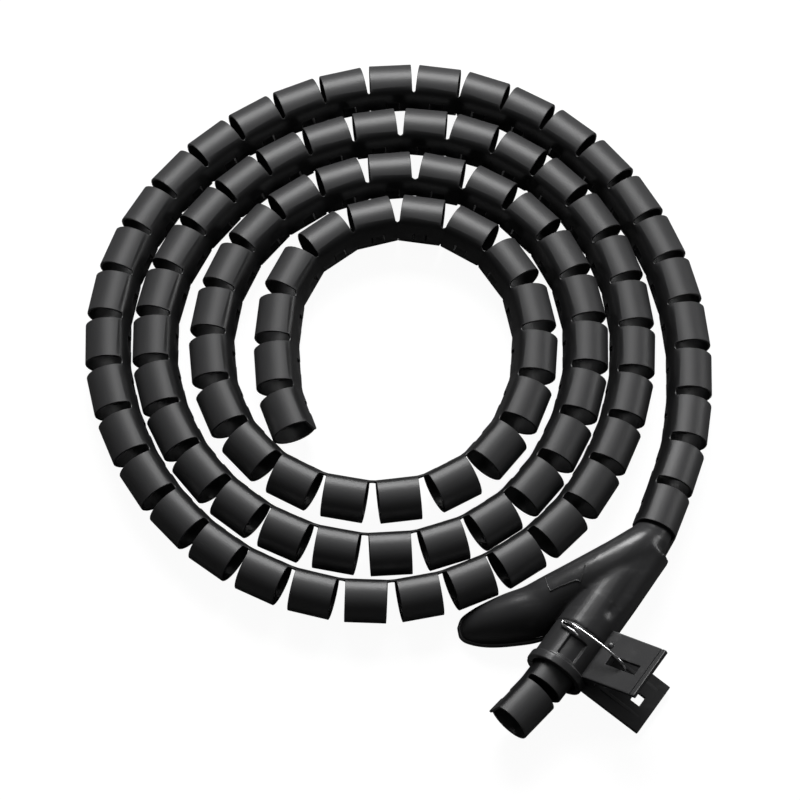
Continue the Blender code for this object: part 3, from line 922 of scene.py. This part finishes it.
def boss():
    """A small dome on the upper plate beside the barrel."""
    form = bmesh.new()
    bmesh.ops.create_uvsphere(form, u_segments=24, v_segments=12, radius=1.7)
    bmesh.ops.scale(form, verts=form.verts, vec=(1.0, 1.0, 0.6))
    bmesh.ops.translate(form, verts=form.verts, vec=tool_point(-21.2, 14.2, 20.0))
    form.loops.layers.uv.new("flow")
    return form


def lower_plate():
    long = math.hypot(LOWER_EDGE[0] - LOWER_ROOT[0], LOWER_EDGE[1] - LOWER_ROOT[1])
    columns = [-25.4, -24.8, -20.0, -15.1, -10.7, -6.0, -1.6, -1.0]
    rows = [0.0, 7.0, 14.0, 22.0, 26.6, long - 0.6, long]
    return plate(LOWER_ROOT, LOWER_EDGE, columns, rows, WINDOW_HOLE, lambda w, z: z + PLATE_T)


# %% [markdown]
# ## The scoop
# The scoop is a small boat with no floor: cables go in under its lip, and it closes into a round
# neck that sits inside the spread ring. It is a thin wall over sections along a given line,
# with a rounded bead along its open edge.

# %% The scoop's sections: x, y, height of the widest line, half width, rise above and drop below it
SCOOP = [
    (107.9, -69.8, 12.2, 7.7, 7.7, 7.7),
    (106.0, -75.4, 12.5, 7.7, 7.7, 7.7),
    (103.9, -81.8, 12.8, 7.7, 7.9, 7.7),
    (99.9, -88.6, 13.1, 9.3, 11.4, 9.2),
    (91.0, -96.2, 13.2, 10.3, 13.0, 9.4),
    (77.6, -103.8, 12.0, 10.3, 13.4, 8.7),
    (63.6, -110.6, 8.8, 10.4, 13.2, 6.4),
    (55.1, -115.1, 6.2, 11.1, 13.0, 4.6),
    (45.4, -117.4, 4.6, 10.4, 12.2, 3.4),
    (36.0, -119.6, 3.6, 8.7, 10.0, 2.6),
    (29.6, -121.1, 3.1, 6.4, 6.8, 2.1),
    (26.2, -122.0, 2.9, 4.2, 4.0, 1.9),
    (24.6, -122.3, 2.8, 1.6, 1.4, 1.8),
]
SCOOP_WALL = 1.5


# %% A smooth line through the sections
def between_sections(t):
    """The section at t, counted in sections from the neck, on a smooth curve through them all."""
    k = min(int(t), len(SCOOP) - 2)
    share = t - k
    rows = [SCOOP[min(max(k + n, 0), len(SCOOP) - 1)] for n in (-1, 0, 1, 2)]
    out = []
    for p0, p1, p2, p3 in zip(*rows):
        out.append(0.5 * (2 * p1 + (p2 - p0) * share + (2 * p0 - 5 * p1 + 4 * p2 - p3) * share ** 2
                          + (3 * p1 - p0 - 3 * p2 + p3) * share ** 3))
    return out


def open_share(t):
    """How far the floor of the scoop is open: 0 in the neck, 1 under the mouth."""
    return fade(t, 4.2, 6.4)


def scoop_point(t, s, z):
    """s runs round from one lower edge, 0, over the top to the other, 1, and z is 0 on the skin."""
    x, y, height, half, rise, drop = between_sections(t)
    ahead = (Vector(between_sections(t + 0.05)[:2]) - Vector(between_sections(t - 0.05)[:2])).normalized()
    side = Vector((-ahead.y, ahead.x))
    under = -90.0 * (1.0 - open_share(t)) - 42.0 * open_share(t)
    turn = math.radians(under + (180.0 - 2.0 * under) * s)
    depth = -z * SCOOP_WALL
    wide = max(half - depth, 0.2) * math.cos(turn)
    tall = max((rise if math.sin(turn) >= 0.0 else drop) - depth, 0.2) * math.sin(turn)
    return Vector((x + side.x * wide, y + side.y * wide, height + tall))


def rim_point(t, way):
    """A spot on the flared lower edge, just outside the wall."""
    x, y, height, half, rise, drop = between_sections(t)
    ahead = (Vector(between_sections(t + 0.05)[:2]) - Vector(between_sections(t - 0.05)[:2])).normalized()
    side = Vector((-ahead.y, ahead.x)) * way
    return Vector((x + side.x * (half + 0.25), y + side.y * (half + 0.25), height - 0.5 * drop))


def scoop_wall():
    columns = [k * 0.25 for k in range(4 * (len(SCOOP) - 1) + 1)]
    rows = [k / 40.0 for k in range(41)]
    form = flat_sheet(columns, rows, lambda t, s: True)
    give_wall(form, 1.0)
    flow = form.loops.layers.uv.new("flow")
    for face in form.faces:
        for loop in face.loops:
            loop[flow].uv = (loop.vert.co.x, loop.vert.co.y * 3.0)
    bend(form, scoop_point)
    bmesh.ops.remove_doubles(form, verts=form.verts, dist=0.02)
    ease(form, 0.3, 60.0, 2)
    return form


# %% [markdown]
# ## Beads and wire
# A bead or a wire is a round section along a line of points. Blender's curve does that with its own
# bevel, and the result is turned into a mesh.


# %% Round section along a line
def rod(points, radius, ends=True):
    """A round rod through the points, as a mesh shape with a flow map along it."""
    data = bpy.data.curves.new("rod", "CURVE")
    data.dimensions = "3D"
    data.bevel_depth = radius
    data.bevel_resolution = 4
    data.use_fill_caps = ends
    data.resolution_u = 8
    spline = data.splines.new("NURBS")
    spline.points.add(len(points) - 1)
    for spot, place in zip(spline.points, points):
        spot.co = (*place, 1.0)
    spline.order_u = 3
    spline.use_endpoint_u = True
    holder = bpy.data.objects.new("rod", data)
    bpy.context.scene.collection.objects.link(holder)
    graph = bpy.context.evaluated_depsgraph_get()
    mesh = bpy.data.meshes.new_from_object(holder.evaluated_get(graph))
    bpy.data.objects.remove(holder)
    form = bmesh.new()
    form.from_mesh(mesh)
    bpy.data.meshes.remove(mesh)
    bmesh.ops.remove_doubles(form, verts=form.verts, dist=0.001)
    flow = form.loops.layers.uv.new("flow")
    start = Vector(points[0])
    for face in form.faces:
        for loop in face.loops:
            loop[flow].uv = ((loop.vert.co - start).length / 10.0, face.normal.z)
    return form


def scoop_bead():
    """The rounded rim along the open edge, round the mouth from one side to the other."""
    top = len(SCOOP) - 1
    steps = [6.2 + k * (top - 6.2) / 26.0 for k in range(27)]
    near = [rim_point(t, 1.0) for t in steps]
    far = [rim_point(t, -1.0) for t in reversed(steps)]
    return rod(near + far, 1.0)


# %% The step line on the scoop's crest
STEP_LINE = [
    (6.12, 0.64), (6.22, 0.56), (6.25, 0.49), (6.25, 0.49), (5.95, 0.485), (5.68, 0.475), (5.41, 0.465),
    (5.38, 0.44), (5.38, 0.44), (5.23, 0.49), (5.08, 0.54),
]


def step_line():
    """A fine raised line, half sunk in the crest."""
    return rod([scoop_point(t, s, 0.06) for t, s in STEP_LINE], 0.3)


# %% [markdown]
# ## The applicator
# All of these are one moulding on the real tool, so they are joined as one piece.


# %% Melt the neck into the barrel
VOXEL = 0.55


def melted(form, cell):
    """One skin over shapes that run through each other, from Blender's voxel remesh."""
    mesh = bpy.data.meshes.new("melted")
    form.to_mesh(mesh)
    form.free()
    holder = bpy.data.objects.new("melted", mesh)
    bpy.context.scene.collection.objects.link(holder)
    remesh = holder.modifiers.new("voxels", "REMESH")
    remesh.mode = "VOXEL"
    remesh.voxel_size = cell
    graph = bpy.context.evaluated_depsgraph_get()
    skin = bpy.data.meshes.new_from_object(holder.evaluated_get(graph))
    bpy.data.objects.remove(holder)
    out = bmesh.new()
    out.from_mesh(skin)
    bpy.data.meshes.remove(skin)
    return out


def smooth_out(form, verts, times):
    """Moves points half way to their neighbours' middle, a number of times."""
    for _ in range(times):
        bmesh.ops.smooth_vert(form, verts=verts, factor=0.5, use_axis_x=True, use_axis_y=True,
                              use_axis_z=True)


def in_the_crotch(place):
    """Whether a point is near the line where the neck meets the barrel's upper half."""
    off = place - FLANGE_AT
    a = off.dot(ALONG)
    o = off.dot(OUTWARD)
    reach = math.hypot(o, off.z)
    beside = -72.0 < a < -36.0 and off.z > -3.0 and -14.0 < o < 9.5
    return beside and BARREL_R - 6.5 < reach < BARREL_R + 4.5


def neck_and_barrel():
    both = bmesh.new()
    join(both, barrel_wall(-BARREL_LEN, BAND_AT))
    join(both, scoop_wall())
    form = melted(both, VOXEL)
    smooth_out(form, form.verts, 3)
    corner = [vert for vert in form.verts if in_the_crotch(vert.co)]
    smooth_out(form, corner, 26)
    print("neck and barrel", len(form.faces), "faces,", len(corner), "points eased where they meet")
    form.loops.layers.uv.new("flow")
    return form


# %% Join the applicator
def applicator():
    form = bmesh.new()
    for part in (neck_and_barrel(), barrel_wall(BAND_AT, 0.0), scoop_bead(), step_line(),
                 upper_plate(), boss()):
        join(form, part)
    for a0, a1 in ((-COLLAR_LEN + 0.4, -COLLAR_LEN + 4.0), (-8.0, -4.2)):
        lug = [(10.8, 15.0), (HINGE[0] - 1.0, HINGE[1] - KNUCKLE_R), (HINGE[0] + 1.4, HINGE[1] - 2.2),
               (HINGE[0] + KNUCKLE_R, HINGE[1]), (HINGE[0] + KNUCKLE_R, 19.4), (10.7, 18.0)]
        join(form, bar(lug, a0, a1))
    join(form, pin(1.1, -COLLAR_LEN + 2.0, -6.0, *HINGE))
    return form


finish_piece(applicator(), "applicator_moulding", "wrap_and_applicator", "tool_plastic", "applicator_body")

# %% [markdown]
# ## The jaw
# The lower half of the collar, its half of the flange, the lower plate with its ribs, and the
# knuckle that turns on the applicator's pin.


# %% The lower half of the collar
def jaw_wall():
    columns = [a for a in BARREL_A if a >= -COLLAR_LEN]
    rows = [180.9, 184.0] + [190.0 + 10.0 * k for k in range(17)] + [356.0, 359.1]
    form = flat_sheet(columns, [row * ARC_BARREL for row in rows], lambda a, y: True)
    give_wall(form, 1.0)
    keep_flow(form)
    bend(form, around_barrel)
    ease(form, 0.3, 60.0, 2)
    # One corner of the bevel comes out below the floor, so it is put back on it.
    for vert in form.verts:
        vert.co.z = max(vert.co.z, 0.0)
    return form


def jaw():
    form = bmesh.new()
    join(form, jaw_wall())
    join(form, lower_plate())
    for a in (-21.6, -7.6):
        rib = [(12.0, 9.8), (37.6, 1.9), (37.6, 3.9), (20.0, 9.9), (13.0, 11.0)]
        join(form, bar(rib, a, a + 1.6))
    knuckle = [(11.4, 8.4), (HINGE[0] + 2.0, 9.0)]
    for k in range(13):
        turn = math.radians(-20.0 + 210.0 * k / 12.0)
        knuckle.append((HINGE[0] + KNUCKLE_R * math.cos(turn), HINGE[1] + KNUCKLE_R * math.sin(turn)))
    join(form, bar(knuckle, -COLLAR_LEN + 4.4, -8.4))
    return form


finish_piece(jaw(), "clip_jaw_moulding", "jaw", "jaw_plastic", "clip_jaw")

# %% [markdown]
# ## The spring
# One bright wire: a hook over the collar, a long bow out to the plates, and a return through the
# slot of the upper plate down to the lower one.

# %% Bend the spring
SPRING = [
    (-18.6, -7.5, 23.3), (-18.6, -5.6, 24.7), (-18.2, -2.0, 26.4), (-17.6, 3.0, 27.4), (-17.0, 8.0, 27.9),
    (-16.3, 13.0, 28.4), (-15.6, 18.0, 28.5), (-15.1, 21.6, 27.6), (-14.9, 24.0, 25.4), (-14.8, 25.0, 22.0),
    (-14.8, 24.4, 18.0), (-14.9, 22.8, 14.0), (-15.0, 20.6, 10.8),
]
SPRING_END = [
    (-18.6, -7.5, 23.3), (-17.3, -7.6, 23.4), (-16.4, -6.4, 24.3), (-16.1, -3.6, 25.9),
    (-15.9, -0.4, 26.5), (-15.2, 1.8, 26.2),
]
WIRE_R = 0.6
HELD_AT = (-14.9, 22.0, 24.0)
PUSHED_AT = (-14.9, 26.0, 12.0)

spring = rod([tool_point(*spot) for spot in SPRING], WIRE_R)
join(spring, rod([tool_point(*spot) for spot in SPRING_END], WIRE_R))
wire = finish_piece(spring, "wire_spring", None, "spring_steel", "clip_spring")
held, pushed = [(tool_point(*spot) + SETTLE) * MM for spot in (HELD_AT, PUSHED_AT)]
tuple(held)
tuple(pushed)
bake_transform(wire)
